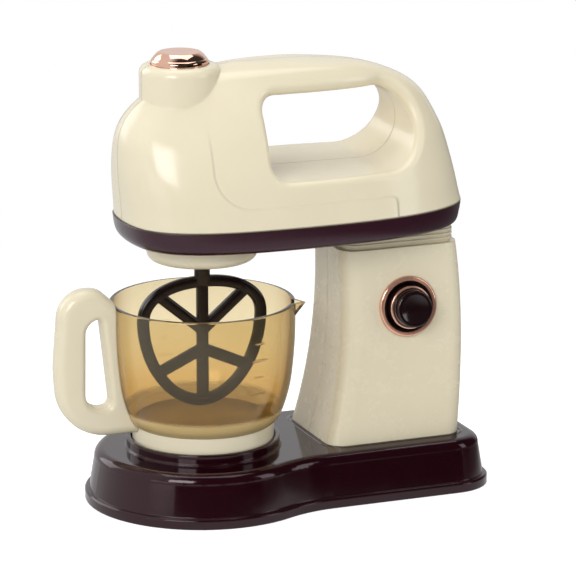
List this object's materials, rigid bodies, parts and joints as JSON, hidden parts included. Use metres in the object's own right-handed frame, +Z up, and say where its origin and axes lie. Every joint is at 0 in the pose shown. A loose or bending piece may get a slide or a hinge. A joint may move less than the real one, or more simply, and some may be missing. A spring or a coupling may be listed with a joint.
{
  "type": "toy blender",
  "caption": "Pretend-play stand mixer with a tilting head, a turning paddle and a lift-out clear bowl with a handle.",
  "frame": {"origin": "on the floor under the axis that the bowl and the paddle share", "axes": "+X from the bowl to the column, +Y away from the side with the round button, +Z up"},
  "size_m": [0.2059, 0.1116, 0.2126],
  "materials": {
    "cream_gloss": "gloss",
    "wine_gloss": "gloss",
    "wine_dark": "gloss",
    "wine_matt": "satin",
    "band_plastic": "satin",
    "amber_clear": "gloss",
    "paddle_plastic": "gloss",
    "rose_copper": "polished",
    "steel": "satin",
    "motor_can": "satin",
    "brass": "satin",
    "white_nylon": "satin",
    "grey_matt": "matt",
    "cell_jacket": "gloss"
  },
  "bodies": {
    "base": {"base_shell": "wine_gloss", "base_cover": "wine_matt", "battery_door": "wine_matt", "battery_box": "grey_matt", "battery_near": "cell_jacket", "battery_far": "cell_jacket", "base_screws": "steel", "column_screws": "steel", "column_near_shell": "cream_gloss", "column_far_shell": "cream_gloss", "neck_collar": "cream_gloss", "hinge_pin": "steel", "bezel_ring": "rose_copper", "switch_cup": "paddle_plastic", "button_spring": "steel", "switch_block": "grey_matt"},
    "round_button": {"start_button": "wine_dark", "button_trim_ring": "rose_copper"},
    "mixing_bowl": {"bowl": "amber_clear", "bowl_foot": "cream_gloss", "bowl_handle": "cream_gloss"},
    "head": {"head_near_shell": "cream_gloss", "head_far_shell": "cream_gloss", "trim_band_near": "band_plastic", "trim_band_far": "band_plastic", "gearbox_cup": "cream_gloss", "motor": "motor_can", "motor_bracket": "grey_matt", "top_button_guide": "grey_matt", "top_button_spring": "steel"},
    "turret_button": {"top_button": "rose_copper"},
    "beater": {"paddle": "paddle_plastic", "spindle": "paddle_plastic", "drive_gear": "white_nylon"},
    "pinion": {"motor_pinion": "brass"}
  },
  "joints": [
    {"name": "head_tilt", "type": "hinge", "parent": "base", "child": "head", "pos_m": [0.115, 0, 0.129], "axis": [0, 1, 0], "range_deg": [0, 32]},
    {"name": "paddle_spin", "type": "hinge", "parent": "head", "child": "beater", "pos_m": [0, 0, 0.12], "axis": [0, 0, 1], "continuous": true},
    {"name": "pinion_spin", "type": "hinge", "parent": "head", "child": "pinion", "pos_m": [-0.0184, 0, 0.12], "axis": [0, 0, 1], "continuous": true},
    {"name": "round_button_press", "type": "slide", "parent": "base", "child": "round_button", "axis": [0, 0.997, -0.0771], "range_m": [0, 0.0025], "stiffness_N_per_m": 300, "springref_m": -0.0015, "deforming": ["button_spring"]},
    {"name": "top_button_press", "type": "slide", "parent": "head", "child": "turret_button", "axis": [0, 0, -1], "range_m": [0, 0.0025], "stiffness_N_per_m": 300, "springref_m": -0.0015, "deforming": ["top_button_spring"]},
    {"name": "bowl_lift", "type": "slide", "parent": "base", "child": "mixing_bowl", "axis": [0, 0, 1], "range_m": [0, 0.0045]}
  ],
  "couplings": [
    {"joint": "pinion_spin", "follows": "paddle_spin", "ratio": -3.6}
  ]
}
